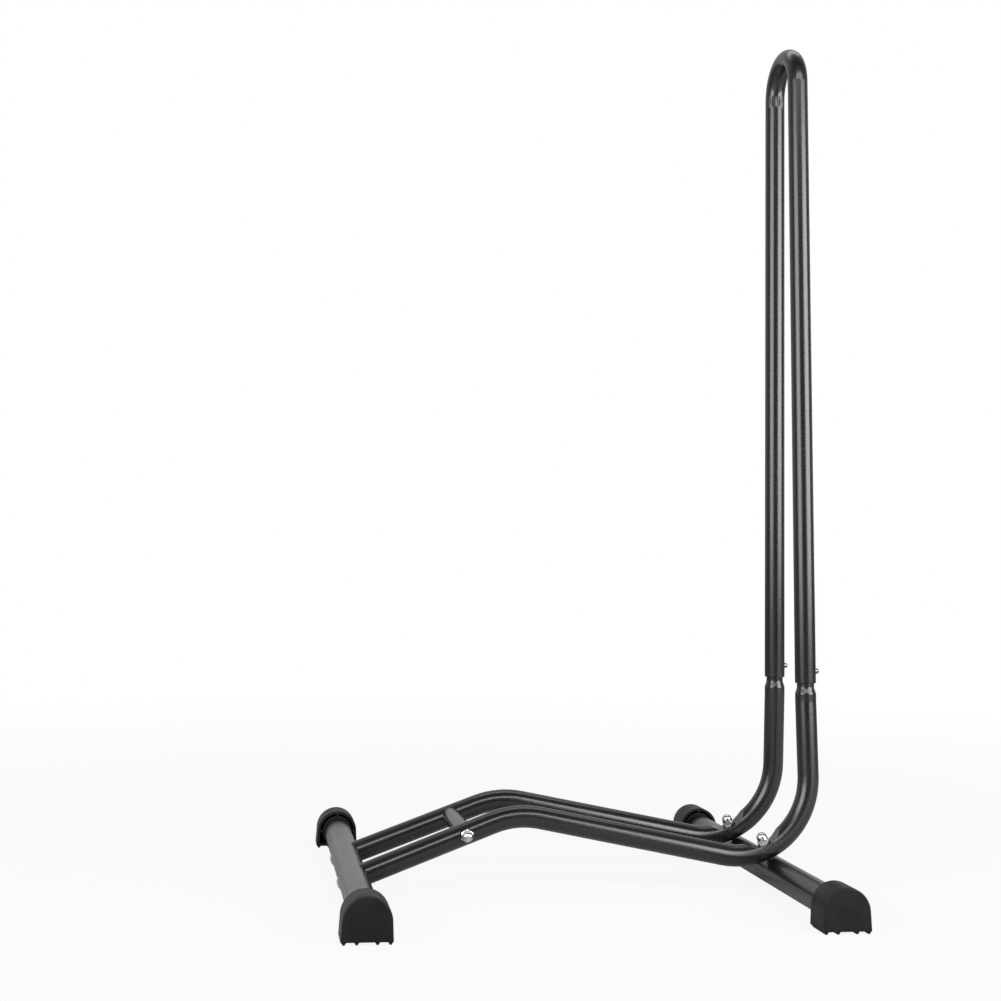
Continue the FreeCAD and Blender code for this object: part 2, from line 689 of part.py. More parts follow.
def make_foot_cap(name, where):
    """Moulded D-shaped cap. The open inner end shows the socket for the foot tube, carried in the
    outer shell by webs; four tapered ribs under the base stand on the floor."""
    body = doc.addObject("PartDesign::Body", name)
    body.setExpression("Placement", where)

    shape = sketch_on(body, "XZ_Plane", "shape")
    d_outline(shape, "0")
    block = pad(body, "block", shape, "Sizes.cap_length")
    doc.recompute()
    rim = body.newObject("PartDesign::Fillet", f"{name}_rim")
    rim.Base = (block, edges_at_end(block))
    rim.setExpression("Radius", "Sizes.cap_edge")

    core = sketch_on(body, "XZ_Plane", "core")
    d_outline(core, "Sizes.cap_shell")
    pocket(body, "coring", core, "Sizes.cap_core_depth", reversed_cut=True)

    boss = sketch_on(body, "XZ_Plane", "boss")
    circle(boss, "Layout.socket_radius + Sizes.socket_wall", "Sizes.foot_height")
    pad(body, "socket_wall", boss, "Sizes.cap_core_depth")

    webs = sketch_on(body, "XZ_Plane", "webs")
    middle = "(Layout.socket_radius + Sizes.cap_radius) / 2"
    reach = "Sizes.cap_radius - Layout.socket_radius - Sizes.cap_shell"
    rectangle(webs, "0", f"Sizes.foot_height + {middle}", "Sizes.web_width", reach)
    for direction in (-1, 1):
        rectangle(webs, f"{direction} * {middle}", "Sizes.foot_height", reach, "Sizes.web_width")
    pad(body, "web_pads", webs, "Sizes.cap_core_depth")

    socket = sketch_on(body, "XZ_Plane", "socket")
    circle(socket, "Layout.socket_radius", "Sizes.foot_height")
    pocket(body, "socket_bore", socket, "Layout.socket_depth", reversed_cut=True)

    ribs = sketch_on(body, "XZ_Plane", "ribs", "Sizes.rib_inset")
    for spread in ("-Sizes.rib_outer", "-Sizes.rib_inner", "Sizes.rib_inner", "Sizes.rib_outer"):
        tip = [f"{spread} {sign} Sizes.rib_tip / 2" for sign in "-+"]
        root = [f"{spread} {sign} Sizes.rib_root / 2" for sign in "-+"]
        top = "Sizes.cap_stand + Sizes.cap_shell / 2"
        outline(ribs, [(tip[0], "0"), (tip[1], "0"),
                       (root[1], "Sizes.cap_stand"), (root[1], top),
                       (root[0], top), (root[0], "Sizes.cap_stand")])
    pad(body, "rib_pads", ribs, "Sizes.cap_length - 2 * Sizes.rib_inset")
    return body


def edges_at_end(block):
    """Names of the edges around the closed end of a cap."""
    end = block.Shape.BoundBox.YMin
    return [f"Edge{number}" for number, edge in enumerate(block.Shape.Edges, start=1)
            if edge.BoundBox.YMax - end < SAME_PLACE]


# ---------------------------------------------------------------- fasteners

def make_bolt(name, where, shank):
    """Domed head above its seat with a hexagon key recess, and a plain shank below."""
    body = doc.addObject("PartDesign::Body", name)
    body.setExpression("Placement", where)
    section = sketch_on(body, "XZ_Plane", "section")
    radius = "Sizes.bolt_od / 2"
    point = "Sizes.bolt_point"
    domed_outline(section, [("0", "Sizes.head_height"),
                            ("0", f"-({shank})"),
                            (f"{radius} - {point}", f"-({shank})"),
                            (radius, f"{point} - ({shank})"),
                            (radius, "0"),
                            ("Sizes.head_od / 2", "0"),
                            ("Sizes.head_od / 2", "Sizes.head_rim")])
    turned(body, "turned", section)
    key = sketch_on(body, "XY_Plane", "key", "Sizes.head_height")
    hexagon(key, "Sizes.key_size")
    pocket(body, "key_recess", key, "Sizes.key_depth")
    return body


def make_nut(name, where):
    """Hexagon with bevelled corners, a domed cap and a blind thread."""
    body = doc.addObject("PartDesign::Body", name)
    body.setExpression("Placement", where)
    flats = sketch_on(body, "XY_Plane", "flats")
    hexagon(flats, "Sizes.nut_size")
    pad(body, "hexagon", flats, "Sizes.nut_hex_height")
    corners = sketch_on(body, "XZ_Plane", "corners")
    inner = "(Sizes.nut_dome_od / 2 - Sizes.nut_corner_inset)"
    low = f"Sizes.nut_hex_height - (Sizes.nut_size - {inner}) * tan(Sizes.nut_corner_slope)"
    outline(corners, [(inner, "Sizes.nut_hex_height"),
                      ("Sizes.nut_size", low),
                      ("Sizes.nut_size", "Sizes.nut_hex_height")])
    turned(body, "corner_bevel", corners, kind="Groove")
    section = sketch_on(body, "XZ_Plane", "section")
    radius = "Sizes.nut_dome_od / 2"
    domed_outline(section, [("0", "Sizes.nut_height"),
                            ("0", "Sizes.nut_hex_height / 2"),
                            (radius, "Sizes.nut_hex_height / 2"),
                            (radius, "Sizes.nut_height - Sizes.nut_dome_rise")])
    turned(body, "dome", section)
    thread = sketch_on(body, "XY_Plane", "thread")
    circle(thread, "Sizes.bolt_od / 2 + Sizes.thread_play")
    pocket(body, "blind_thread", thread, "Sizes.nut_thread_depth", reversed_cut=True)
    return body


def make_plug(name, where):
    """Threaded plug held in the rear end of an arm."""
    body = doc.addObject("PartDesign::Body", name)
    body.setExpression("Placement", where)
    blank = sketch_on(body, "XY_Plane", "blank")
    circle(blank, "Layout.bore_radius - Sizes.plug_play")
    pad(body, "bar", blank, "Sizes.plug_length")
    thread = sketch_on(body, "XY_Plane", "thread")
    circle(thread, "Sizes.bolt_od / 2 + Sizes.thread_play")
    pocket(body, "threaded_bore", thread, "Sizes.plug_length", reversed_cut=True)
    return body


def make_fasteners():
    """Bolts, domed nuts and plugs, each kind in one group."""
    head = {}
    nut = {}
    front_shank = "Layout.foot_seat + Layout.bend_seat + Sizes.nut_grip"
    rear_shank = "Layout.foot_seat + Layout.foot_radius + Sizes.plug_setback + Sizes.plug_length"
    for name, side in SIDES.items():
        frame = side_frame(side)
        head[f"front_{name}"] = make_bolt(f"front_bolt_{name}", f"{frame} * {FRONT_CROSSING} * {FRONT_HEAD}",
                                          front_shank)
        nut[name] = make_nut(f"front_nut_{name}", f"{frame} * {BEND_NUT}")
        head[f"rear_{name}"] = make_bolt(f"rear_bolt_{name}", f"{frame} * {REAR_HEAD}", rear_shank)
        head[f"plug_{name}"] = make_plug(f"plug_{name}", f"{frame} * {REAR_PLUG}")
    return [group("front_foot_bolts", head["front_near"], head["front_far"]),
            group("front_foot_nuts", nut["near"], nut["far"]),
            group("rear_foot_bolts", head["rear_near"], head["rear_far"]),
            group("arm_end_plugs", head["plug_near"], head["plug_far"])]


# ---------------------------------------------------------------- spacer

def make_spacer():
    """Short tube between the arms, coped to them at both ends, with its bolt and domed nut."""
    where = place("Layout.rear_x + Layout.spacer_x", "0", "Layout.spacer_z")
    across = raised(SIDE_VIEW, "-Layout.spacer_y")
    rod = cylinder("spacer_rod", "Sizes.spacer_od / 2", "2 * Layout.spacer_y", across)
    bore = cylinder("spacer_bore", "Sizes.spacer_od / 2 - Sizes.spacer_wall", "2 * Layout.spacer_y", across)
    copes = [cylinder(f"spacer_cope_{name}", "Layout.tube_radius + Sizes.seat_gap", "4 * Sizes.spacer_od",
                      raised(place(y=f"{side} * Layout.spacer_y",
                                   turn=f"rotationx({side} * Sizes.side_tilt)"
                                        " * rotationy(90 - Sizes.arm_rise_angle)"),
                             "-2 * Sizes.spacer_od"))
             for name, side in SIDES.items()]
    tube = cut("spacer_tube", rod, bore, *copes)
    tube.setExpression("Placement", where)
    shank = "2 * (Layout.spacer_y + Layout.arm_seat) + Sizes.nut_grip"
    bolt = make_bolt("spacer_bolt", f"{side_frame(1)} * {arm_seat(1)}", shank)
    nut = make_nut("spacer_nut", f"{side_frame(-1)} * {arm_seat(-1)}")
    return [tube, bolt, nut]


# ---------------------------------------------------------------- snap buttons

def make_button(name, side):
    """Domed button with the flange that stops it inside the neck and the tail that holds it in
    the leaf spring. It is turned about the line that it slides along."""
    body = doc.addObject("PartDesign::Body", f"snap_button_{name}")
    body.setExpression("Placement", f"{hoop_frame()} * {button_level(side)} * {ALONG_X}")
    section = sketch_on(body, "XZ_Plane", "section")
    tail_end = "Sizes.flange_inner - Sizes.tail_height"
    flange_outer = "Sizes.flange_inner + Sizes.flange_height"
    domed_outline(section, [("0", "Sizes.button_reach"),
                            ("0", tail_end),
                            ("Sizes.tail_od / 2", tail_end),
                            ("Sizes.tail_od / 2", "Sizes.flange_inner"),
                            ("Sizes.flange_od / 2", "Sizes.flange_inner"),
                            ("Sizes.flange_od / 2", flange_outer),
                            ("Sizes.button_od / 2", flange_outer),
                            ("Sizes.button_od / 2", "Sizes.button_reach - Sizes.button_dome")])
    turned(body, "turned", section)
    return body


def hoop_frame():
    """The plane of the hoop."""
    return place("Layout.rear_x + Layout.upright_x")


def u_outline(sketch, left, right, low, high):
    """A U shape: two upright sides, a half round bottom and a flat top."""
    xs = (value(left), value(right))
    bend_z, top_z = value(low), value(high)
    middle, radius = (xs[0] + xs[1]) / 2, (xs[1] - xs[0]) / 2
    down = sketch.addGeometry(Part.LineSegment(Vector(xs[0], top_z, 0), Vector(xs[0], bend_z, 0)))
    bend = sketch.addGeometry(Part.ArcOfCircle(
        Part.Circle(Vector(middle, bend_z, 0), Vector(0, 0, 1), radius), math.pi, 2 * math.pi))
    up = sketch.addGeometry(Part.LineSegment(Vector(xs[1], bend_z, 0), Vector(xs[1], top_z, 0)))
    top = sketch.addGeometry(Part.LineSegment(Vector(xs[1], top_z, 0), Vector(xs[0], top_z, 0)))
    relate(sketch, "Tangent", down, END, bend, START)
    relate(sketch, "Tangent", bend, END, up, START)
    relate(sketch, "Coincident", up, END, top, START)
    relate(sketch, "Coincident", top, END, down, START)
    relate(sketch, "Vertical", down)
    relate(sketch, "Horizontal", top)
    dimension(sketch, "DistanceX", *ORIGIN, down, START, size=left)
    dimension(sketch, "DistanceX", *ORIGIN, top, START, size=right)
    dimension(sketch, "DistanceY", *ORIGIN, top, START, size=high)
    dimension(sketch, "DistanceY", *ORIGIN, down, END, size=low)


def make_leaf(name, side):
    """Folded leaf spring behind a button, bent round at the bottom inside the neck."""
    body = doc.addObject("PartDesign::Body", f"button_spring_{name}")
    body.setExpression("Placement", f"{hoop_frame()} * {button_level(side)}")
    front = "Sizes.flange_inner - Sizes.leaf_gap"
    outer = sketch_on(body, "XZ_Plane", "outer")
    u_outline(outer, "-Sizes.leaf_back", front, "-Sizes.leaf_drop", "Sizes.leaf_top")
    strip = pad(body, "strip", outer, "Sizes.leaf_width")
    strip.SideType = "Symmetric"
    inner = sketch_on(body, "XZ_Plane", "inner")
    u_outline(inner, "Sizes.leaf_thickness - Sizes.leaf_back", f"{front} - Sizes.leaf_thickness",
              "-Sizes.leaf_drop", "Sizes.leaf_top + Sizes.leaf_thickness")
    doc.recompute()
    space = feature(body, "Pocket", "space", inner, Length="2 * Sizes.leaf_width")
    space.SideType = "Symmetric"
    hole = sketch_on(body, "YZ_Plane", "hole")
    circle(hole, "Sizes.tail_od / 2 + Sizes.leaf_gap")
    pocket(body, "tail_hole", hole, "Sizes.flange_inner", reversed_cut=True)
    return body


# ---------------------------------------------------------------- the rack

def make_parts():
    """Every piece of the rack; its label is the name of its file."""
    parts = [make_hoop()]
    for name, side in SIDES.items():
        parts.append(make_side_tube(name, side))
        parts.append(make_button(name, side))
        parts.append(make_leaf(name, side))
    feet = {"rear": ("Layout.rear_x", REAR_HEAD),
            "front": ("Layout.rear_x + Layout.front_x", FRONT_HEAD)}
    cap_y = "(Sizes.foot_span / 2 - Sizes.cap_length)"
    for foot, (x, head) in feet.items():
        parts.append(make_foot_tube(f"{foot}_foot_tube", place(x, "0", "Sizes.foot_height"), head))
        parts.append(make_foot_cap(f"foot_cap_{foot}_near", place(x, f"-{cap_y}")))
        parts.append(make_foot_cap(f"foot_cap_{foot}_far", place(x, cap_y, turn="rotationz(180)")))
    parts += make_spacer()
    parts += make_fasteners()
    return parts


def check(parts):
    """Stop if any object failed or any piece is not a sound solid."""
    for item in doc.Objects:
        if "Invalid" in item.State or "Error" in item.State:
            raise RuntimeError(f"{item.Name} failed: {item.State}")
    for part in parts:
        if part.Shape.isNull() or not part.Shape.isValid() or not part.Shape.Solids:
            raise RuntimeError(f"{part.Label} is not a sound solid")


def export(parts):
    """Write each piece to its own file."""
    os.makedirs("parts", exist_ok=True)
    for part in parts:
        part.Shape.exportStep(f"parts/{part.Label}.step")
        print(f"{part.Label}: {len(part.Shape.Solids)} solid(s), {part.Shape.Volume:.1f} mm3")


rack = make_parts()
doc.recompute()
check(rack)
export(rack)
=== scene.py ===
import math

import bpy
from mathutils import Matrix, Vector


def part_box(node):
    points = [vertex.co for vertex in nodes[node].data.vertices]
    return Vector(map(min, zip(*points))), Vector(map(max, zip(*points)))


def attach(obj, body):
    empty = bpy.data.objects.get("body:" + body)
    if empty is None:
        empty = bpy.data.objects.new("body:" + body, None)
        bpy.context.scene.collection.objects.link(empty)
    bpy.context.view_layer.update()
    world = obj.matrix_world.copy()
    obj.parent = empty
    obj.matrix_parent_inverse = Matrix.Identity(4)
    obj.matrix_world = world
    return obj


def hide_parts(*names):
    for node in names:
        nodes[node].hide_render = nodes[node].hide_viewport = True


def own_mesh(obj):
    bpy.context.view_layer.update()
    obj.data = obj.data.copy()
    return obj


# Floor bike rack: black powder-coated tube, moulded foot caps and bright zinc fasteners.
# Metres, +Z up, X from the rear foot to the hoop, the same frame as the solids.

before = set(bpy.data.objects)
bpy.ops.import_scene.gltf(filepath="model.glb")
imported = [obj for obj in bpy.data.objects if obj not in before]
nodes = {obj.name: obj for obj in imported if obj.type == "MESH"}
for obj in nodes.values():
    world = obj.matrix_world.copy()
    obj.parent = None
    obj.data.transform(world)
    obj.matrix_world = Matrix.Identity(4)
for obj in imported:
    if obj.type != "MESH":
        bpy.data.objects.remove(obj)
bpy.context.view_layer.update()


# ---------------------------------------------------------------- node trees

# A noise stays mostly between these levels.
SWING = (0.35, 0.65)
WIDE_SWING = (0.30, 0.70)

# Cosines of the turn at which a surface starts to count as an edge, and fully does.
FLAT_ENOUGH = 0.98
BENT_ENOUGH = 0.85


class Tree:
    """A node tree that is filled by short calls."""

    def __init__(self, tree):
        self.tree = tree
        tree.nodes.clear()

    def add(self, kind, settings=None, **inputs):
        """Add a node, set its options, and feed its inputs by name."""
        node = self.tree.nodes.new(kind)
        for option, setting in (settings or {}).items():
            setattr(node, option, setting)
        for name, source in inputs.items():
            self.feed(node, name.replace("_", " "), source)
        return node

    def feed(self, node, name, source):
        """Give an input a constant or the output of another node."""
        socket = node.inputs[int(name)] if name.isdigit() else node.inputs[name]
        if isinstance(source, bpy.types.Node):
            source = source.outputs[0]
        if isinstance(source, bpy.types.NodeSocket):
            self.tree.links.new(source, socket)
        else:
            socket.default_value = source

    def math(self, operation, first, second=0.0):
        """Combine two values."""
        node = self.add("ShaderNodeMath", {"operation": operation})
        self.feed(node, "0", first)
        self.feed(node, "1", second)
        return node

    def remap(self, source, low, high, to_low, to_high, course="LINEAR"):
        """Stretch a range of values onto another, and stop at its ends."""
        return self.add("ShaderNodeMapRange", {"interpolation_type": course}, Value=source,
                        From_Min=low, From_Max=high, To_Min=to_low, To_Max=to_high)

    def blend(self, factor, first, second):
        """Mix two colours."""
        node = self.add("ShaderNodeMix", {"data_type": "RGBA"})
        for index, source in ((0, factor), (6, first), (7, second)):
            self.feed(node, str(index), source)
        return node.outputs[2]

    def drift(self, noise, first, second):
        """Drift between two colours with a noise."""
        return self.blend(self.remap(noise, *SWING, 0.0, 1.0), first, second)

    def noise(self, where, scale, detail=2.0):
        """Noise with a number of swings per metre."""
        return self.add("ShaderNodeTexNoise", Vector=where, Scale=scale, Detail=detail)

    def stretched(self, where, x, y, z):
        """Coordinates scaled along each axis."""
        return self.add("ShaderNodeVectorMath", {"operation": "MULTIPLY"},
                        **{"0": where, "1": (x, y, z)})

    def bump(self, height, depth, strength=1.0, normal=None):
        """Relief of a given depth in metres."""
        node = self.add("ShaderNodeBump", Strength=strength, Distance=depth, Height=height)
        if normal:
            self.feed(node, "Normal", normal)
        return node


def grey(level, warmth=0.0):
    """A near neutral colour."""
    return (level * (1 + warmth), level, level * (1 - warmth), 1.0)


def edge_mask(tree, radius):
    """Where the surface bends within a radius: near 1 on edges and 0 elsewhere."""
    rounded = tree.add("ShaderNodeBevel", Radius=radius)
    plain = tree.add("ShaderNodeNewGeometry").outputs["Normal"]
    alike = tree.add("ShaderNodeVectorMath", {"operation": "DOT_PRODUCT"},
                     **{"0": rounded, "1": plain})
    return tree.remap(alike.outputs["Value"], FLAT_ENOUGH, BENT_ENOUGH, 0.0, 1.0)


def new_material(name, dress):
    """A material whose surface is made by a function."""
    material = bpy.data.materials.new(name)
    material.use_nodes = True
    tree = Tree(material.node_tree)
    where = tree.add("ShaderNodeTexCoord").outputs["Object"]
    surface = dress(tree, where)
    tree.add("ShaderNodeOutputMaterial", Surface=surface)
    return material


# ---------------------------------------------------------------- materials

# Depths of relief, in metres.
PEEL_DEPTH = 0.000012
MOULD_GRAIN_DEPTH = 0.00004
TOOL_MARK_DEPTH = 0.00002
THREAD_DEPTH = 0.00005
FINE_DEPTH = 0.00001

# How wide a band beside an edge is rubbed, in metres.
TUBE_EDGE = 0.0006
PLASTIC_EDGE = 0.0008
ZINC_EDGE = 0.0004

# How far round a point the zinc looks for nearby surfaces when painting shade into its crevices,
# in metres.
SHADE_PAINT_REACH = 0.003

# Heights between which a front foot bolt changes from bright zinc to a thread darkened with
# painted shade.
THREAD_START = 0.012
THREAD_FULL = 0.013

COAT_IOR = 1.62
PLASTIC_IOR = 1.32


def coated_steel(tree, where):
    """Semi-gloss black powder coat: fine orange peel, soft sheen changes, dust, rubbed edges."""
    broad = tree.noise(where, 7.0, 3.0)
    peel = tree.noise(where, 850.0, 1.0)
    dust = tree.remap(tree.noise(where, 260.0, 4.0), 0.68, 0.76, 0.0, 1.0)
    worn = tree.math("MULTIPLY", edge_mask(tree, TUBE_EDGE),
                     tree.remap(tree.noise(where, 140.0, 3.0), 0.40, 0.62, 0.15, 1.0))
    colour = tree.drift(broad, grey(0.0030), grey(0.0055))
    colour = tree.blend(tree.math("MULTIPLY", dust, 0.12), colour, grey(0.055, 0.03))
    colour = tree.blend(tree.math("MULTIPLY", worn, 0.30), colour, grey(0.09))
    roughness = tree.remap(broad, *WIDE_SWING, 0.23, 0.28)
    roughness = tree.math("ADD", roughness, tree.math("MULTIPLY", dust, 0.20))
    return tree.add("ShaderNodeBsdfPrincipled", Base_Color=colour, Roughness=roughness,
                    IOR=COAT_IOR, Normal=tree.bump(peel, PEEL_DEPTH))


def moulded_plastic(tree, where):
    """Black moulded plastic with a fine spark-eroded grain and scuffed edges."""
    grain = tree.add("ShaderNodeTexVoronoi", Vector=where, Scale=1500.0)
    cloud = tree.noise(where, 40.0, 4.0)
    scuff = tree.math("MULTIPLY", edge_mask(tree, PLASTIC_EDGE),
                      tree.remap(tree.noise(where, 260.0, 3.0), 0.42, 0.62, 0.2, 1.0))
    colour = tree.drift(cloud, grey(0.0030), grey(0.0060))
    colour = tree.blend(tree.math("MULTIPLY", scuff, 0.3), colour, grey(0.07))
    roughness = tree.remap(cloud, *SWING, 0.42, 0.54)
    return tree.add("ShaderNodeBsdfPrincipled", Base_Color=colour, Roughness=roughness,
                    IOR=PLASTIC_IOR, Normal=tree.bump(grain, MOULD_GRAIN_DEPTH, 0.6))


def zinc(tree, where):
    """Bright zinc: pale blue-grey, faint clouding, tool marks and painted shade in its crevices.
    """
    cloud = tree.noise(where, 320.0, 4.0)
    marks = tree.noise(tree.stretched(where, 1.0, 1.0, 7.0), 900.0, 2.0)
    worn = edge_mask(tree, ZINC_EDGE)
    colour = tree.drift(cloud, (0.50, 0.52, 0.54, 1.0), (0.68, 0.69, 0.69, 1.0))
    colour = tree.blend(tree.math("MULTIPLY", worn, 0.6), colour, grey(0.80))
    # Painted shade: where ambient occlusion finds nearby surfaces, the colour goes towards near
    # black.
    painted_crevice_shade = tree.add("ShaderNodeAmbientOcclusion", Distance=SHADE_PAINT_REACH).outputs["AO"]
    colour = tree.blend(tree.remap(painted_crevice_shade, 0.35, 0.80, 0.85, 0.0), colour, grey(0.03))
    roughness = tree.remap(cloud, *WIDE_SWING, 0.17, 0.34)
    return tree.add("ShaderNodeBsdfPrincipled", Base_Color=colour, Metallic=1.0,
                    Roughness=roughness, Normal=tree.bump(marks, TOOL_MARK_DEPTH, 0.5))


def zinc_with_dark_thread(tree, where):
    """A zinc head on a thread whose near-black colour is painted shade."""
    height = tree.add("ShaderNodeSeparateXYZ", Vector=where).outputs["Z"]
    turns = tree.noise(tree.stretched(where, 1.0, 1.0, 5.0), 700.0, 2.0)
    # Painted shade: the thread below the head is coloured near black, as if in the shadow between
    # the tubes.
    thread = tree.add("ShaderNodeBsdfPrincipled",
                      Base_Color=tree.blend(turns, grey(0.006), grey(0.02)),
                      Roughness=tree.remap(turns, *SWING, 0.45, 0.7),
                      Normal=tree.bump(turns, THREAD_DEPTH))
    share = tree.remap(height, THREAD_START, THREAD_FULL, 0.0, 1.0)
    return tree.add("ShaderNodeMixShader", **{"0": share, "1": zinc(tree, where), "2": thread})


def nickel(tree, where):
    """Plated button: smooth grey steel, dulled where it rubs in its hole."""
    cloud = tree.noise(where, 500.0, 3.0)
    rings = tree.noise(tree.stretched(where, 9.0, 1.0, 1.0), 700.0, 2.0)
    colour = tree.drift(cloud, (0.15, 0.15, 0.14, 1.0), (0.28, 0.27, 0.26, 1.0))
    roughness = tree.remap(rings, *WIDE_SWING, 0.12, 0.30)
    return tree.add("ShaderNodeBsdfPrincipled", Base_Color=colour, Metallic=1.0,
                    Roughness=roughness, Normal=tree.bump(rings, FINE_DEPTH, 0.5))


def spring_steel(tree, where):
    """Blued strip with a fine rolled grain."""
    grain = tree.noise(tree.stretched(where, 6.0, 6.0, 0.6), 600.0, 3.0)
    tint = tree.noise(where, 120.0, 2.0)
    colour = tree.drift(tint, (0.10, 0.12, 0.17, 1.0), (0.22, 0.21, 0.20, 1.0))
    roughness = tree.remap(grain, *WIDE_SWING, 0.22, 0.42)
    return tree.add("ShaderNodeBsdfPrincipled", Base_Color=colour, Metallic=1.0,
                    Roughness=roughness, Normal=tree.bump(grain, FINE_DEPTH, 0.6))


def turned_steel(tree, where):
    """Plain turned steel, oiled and a little mottled."""
    rings = tree.noise(tree.stretched(where, 8.0, 8.0, 1.0), 300.0, 3.0)
    mottle = tree.noise(where, 180.0, 4.0)
    colour = tree.drift(mottle, (0.20, 0.19, 0.18, 1.0), (0.34, 0.33, 0.32, 1.0))
    roughness = tree.remap(rings, *WIDE_SWING, 0.30, 0.50)
    return tree.add("ShaderNodeBsdfPrincipled", Base_Color=colour, Metallic=1.0,
                    Roughness=roughness, Normal=tree.bump(rings, FINE_DEPTH, 0.5))


SURFACES = {
    "coated_tube": coated_steel,
    "cap_plastic": moulded_plastic,
    "zinc_fastener": zinc,
    "plug_steel": turned_steel,
    "button_steel": nickel,
    "spring_steel": spring_steel,
}
materials = {slot: new_material(slot, dress) for slot, dress in SURFACES.items()}

NODE_SLOTS = {
    "coated_tube": ("hoop", "side_tube_near", "side_tube_far", "front_foot_tube", "rear_foot_tube",
                    "spacer_tube"),
    "cap_plastic": ("foot_cap_front_near", "foot_cap_front_far", "foot_cap_rear_near",
                    "foot_cap_rear_far"),
    "zinc_fastener": ("spacer_bolt", "spacer_nut", "front_foot_bolts", "front_foot_nuts",
                      "rear_foot_bolts"),
    "plug_steel": ("arm_end_plugs",),
    "button_steel": ("snap_button_near", "snap_button_far"),
    "spring_steel": ("button_spring_near", "button_spring_far"),
}
for slot_name, members in NODE_SLOTS.items():
    for member in members:
        for material_slot in nodes[member].material_slots:
            material_slot.material = materials[slot_name]
# The front foot bolts get zinc on a thread darkened with painted shade.
zinc_and_shade_painted_thread = new_material("zinc_and_shade_painted_thread", zinc_with_dark_thread)
for material_slot in nodes["front_foot_bolts"].material_slots:
    material_slot.material = zinc_and_shade_painted_thread


# ---------------------------------------------------------------- bend creases

def new_piece(name, points, faces, slot_name, body="frame"):
    """A closed mesh of the scene's own, in one of the finishes."""
    mesh = bpy.data.meshes.new(name)
    mesh.from_pydata(points, [], faces)
    mesh.validate()
    for polygon in mesh.polygons:
        polygon.use_smooth = True
    piece = bpy.data.objects.new(name, mesh)
    bpy.context.scene.collection.objects.link(piece)
    mesh.materials.append(materials[slot_name])
    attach(piece, body)


TUBE_RADIUS = 0.0095
CREASE_LENGTH = 0.018
CREASE_HEIGHT = 0.0007
CREASE_FULLNESS = 0.6     # below 1 a ridge rises quickly and stays high along its length
CREASE_SINK = 0.00005     # a ridge starts this far inside the skin of the tube
CREASE_ROOT = 0.0008      # and its back lies this far below its start
CREASE_STEPS_ALONG = 16
CREASE_STEPS_ACROSS = 8


def crease(name, axis_point, axis, middle_angle, half_angle):
    """A low ridge along the inner side of a tube, pushed up where the tube was bent. Its back is
    sunk into the wall of the tube."""
    side = Vector((1.0, 0.0, 0.0))
    inward = axis.cross(side)
    points = []
    for layer_depth in (0.0, CREASE_ROOT):
        for i in range(CREASE_STEPS_ALONG + 1):
            along = i / CREASE_STEPS_ALONG
            for j in range(CREASE_STEPS_ACROSS + 1):
                across = j / CREASE_STEPS_ACROSS * 2 - 1
                rise = (CREASE_HEIGHT * math.sin(math.pi * along) ** CREASE_FULLNESS
                        * (1 - abs(across)))
                angle = middle_angle + half_angle * across
                radius = TUBE_RADIUS - layer_depth - CREASE_SINK + (0 if layer_depth else rise)
                direction = inward * math.cos(angle) + side * math.sin(angle)
                points.append(axis_point + axis * (along - 0.5) * CREASE_LENGTH
                              + direction * radius)
    row = CREASE_STEPS_ACROSS + 1
    layer = row * (CREASE_STEPS_ALONG + 1)
    faces = []
    for i in range(CREASE_STEPS_ALONG):
        for j in range(CREASE_STEPS_ACROSS):
            a = i * row + j
            faces.append((a, a + 1, a + row + 1, a + row))
            faces.append((a + layer, a + layer + row, a + layer + row + 1, a + layer + 1))
        for a, b in ((i * row, (i + 1) * row), ((i + 1) * row + row - 1, i * row + row - 1)):
            faces.append((a, b, b + layer, a + layer))
    for j in range(CREASE_STEPS_ACROSS):
        last = CREASE_STEPS_ALONG * row
        faces.append((j + 1, j, j + layer, j + 1 + layer))
        faces.append((last + j, last + j + 1, last + j + 1 + layer, last + j + layer))
    new_piece(name, points, faces, "coated_tube")


hoop_low, hoop_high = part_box("hoop")
HOOP_X = (hoop_low.x + hoop_high.x) / 2
CREASE_Z = 0.7535
LEG_Y = 0.03265           # from the middle to the axis of a leg, at that height
LEG_LEAN = math.radians(0.95)
CREASES_PER_LEG = 5
CREASE_SPACING = math.radians(20.5)
CREASE_TURN = math.radians(12)
CREASE_HALF_ANGLE = math.radians(8.5)
for side_name, sign in (("near", -1), ("far", 1)):
    leg_axis = Vector((0.0, sign * math.sin(LEG_LEAN), -math.cos(LEG_LEAN))) * sign
    for number in range(CREASES_PER_LEG):
        crease(f"bend_crease_{side_name}_{number}", Vector((HOOP_X, sign * LEG_Y, CREASE_Z)),
               leg_axis, CREASE_SPACING * (number - CREASES_PER_LEG // 2) - CREASE_TURN,
               CREASE_HALF_ANGLE)


# ---------------------------------------------------------------- leaf springs


def leaf_spring(side):
    """The bent strip behind a button, as a copy of its part that the scene holds on its own."""
    node_name = f"button_spring_{side}"
    mesh = nodes[node_name].data.copy()
    piece = bpy.data.objects.new(f"leaf_spring_{side}", mesh)
    bpy.context.scene.collection.objects.link(piece)
    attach(piece, "frame")
    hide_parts(node_name)
    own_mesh(piece)


leaf_spring("near")
leaf_spring("far")


# ---------------------------------------------------------------- floor, light and camera

FLOOR_REACH = 40.0
FLOOR_STEPS = 96
GLOW_SHARE = 0.90         # of what the camera sees of the floor beside the rack
GLOW_FROM = 0.3           # the share grows from this distance from the middle
GLOW_FULL = 2.2           # and is whole from this one on

REFLECTED_FRONT = 0.10    # the world in reflections, behind the camera
REFLECTED_BACK = 0.66     # and behind the rack
PLAIN_LEVEL = 0.28        # the world as a light


